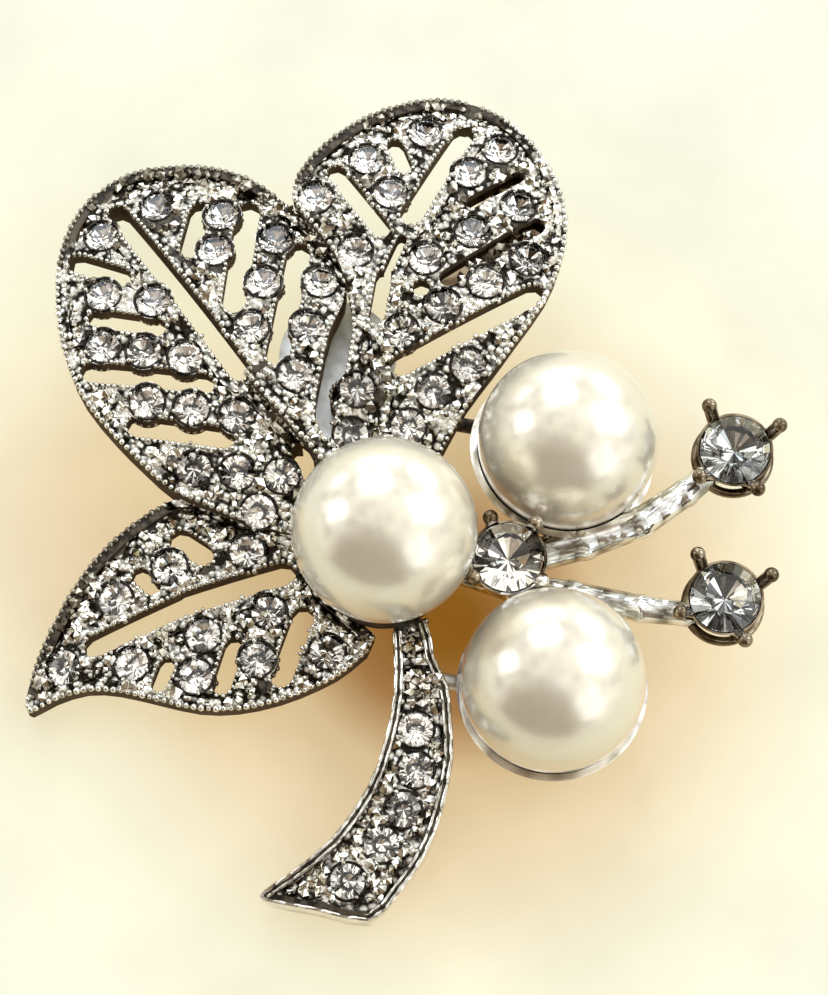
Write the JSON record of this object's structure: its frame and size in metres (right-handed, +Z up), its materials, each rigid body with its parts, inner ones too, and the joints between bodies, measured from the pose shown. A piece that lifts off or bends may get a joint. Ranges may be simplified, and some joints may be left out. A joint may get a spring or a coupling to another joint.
{
  "type": "leaf brooch",
  "caption": "Brooch of pierced leaves on a curved stem, set with small cut stones, with pearls in cups, claw-set buds on stalks and a pin across the back.",
  "frame": {"origin": "centre of the brooch's box at the surface that it lies on", "axes": "+Z up out of the front of the brooch, +Y towards the top leaf's tip, +X towards the two buds"},
  "size_m": [0.0502, 0.057, 0.0169],
  "materials": {
    "plated_metal": "bright plated casting",
    "pin_steel": "plain plated strip and wire",
    "pearl": "nacre-coated imitation pearl",
    "clear_stone": "foil-backed cut glass",
    "smoke_stone": "foil-backed smoky cut glass"
  },
  "bodies": {
    "root": {"leaf_spray": "plated_metal", "pin_back": "pin_steel", "pearl_middle": "pearl", "pearl_upper": "pearl", "pearl_lower": "pearl", "stone_middle": "clear_stone", "bud_stone_upper": "smoke_stone", "bud_stone_lower": "smoke_stone", "pave_left_leaf": "clear_stone", "pave_top_leaf": "clear_stone", "pave_low_leaf": "clear_stone", "pave_stem": "clear_stone"}
  },
  "joints": []
}
